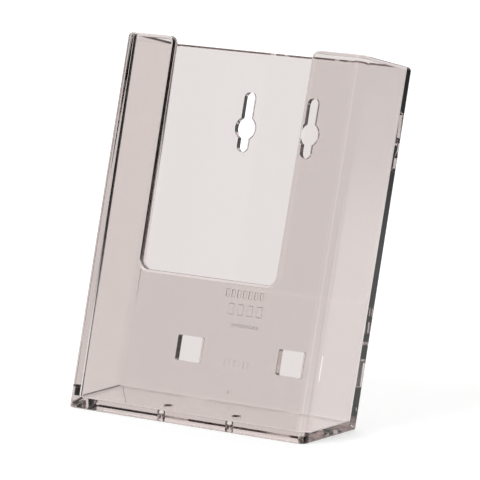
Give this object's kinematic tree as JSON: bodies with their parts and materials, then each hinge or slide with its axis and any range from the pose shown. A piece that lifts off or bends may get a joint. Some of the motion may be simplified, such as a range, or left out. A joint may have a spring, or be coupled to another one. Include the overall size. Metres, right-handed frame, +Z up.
{
  "type": "leaflet holder",
  "caption": "Clear smoky plastic leaflet holder: a narrow open-topped pocket with a cut-away front, leaning back on its base, with keyholes for hanging it on a wall.",
  "frame": {"origin": "middle of the base plate's underside, where the holder stands", "axes": "+Z up, square to the base; +X to the right of the holder as seen from the front; -Y is the front, where the window is; the walls lean back towards +Y as they rise"},
  "size_m": [0.117, 0.0722, 0.1468],
  "materials": {
    "clear_plastic": "clear, slightly smoky warm grey, polished"
  },
  "bodies": {
    "root": {"base_plate": "clear_plastic", "back_panel": "clear_plastic", "left_side_wall": "clear_plastic", "right_side_wall": "clear_plastic", "front_apron": "clear_plastic", "left_front_lip": "clear_plastic", "right_front_lip": "clear_plastic"}
  },
  "joints": []
}
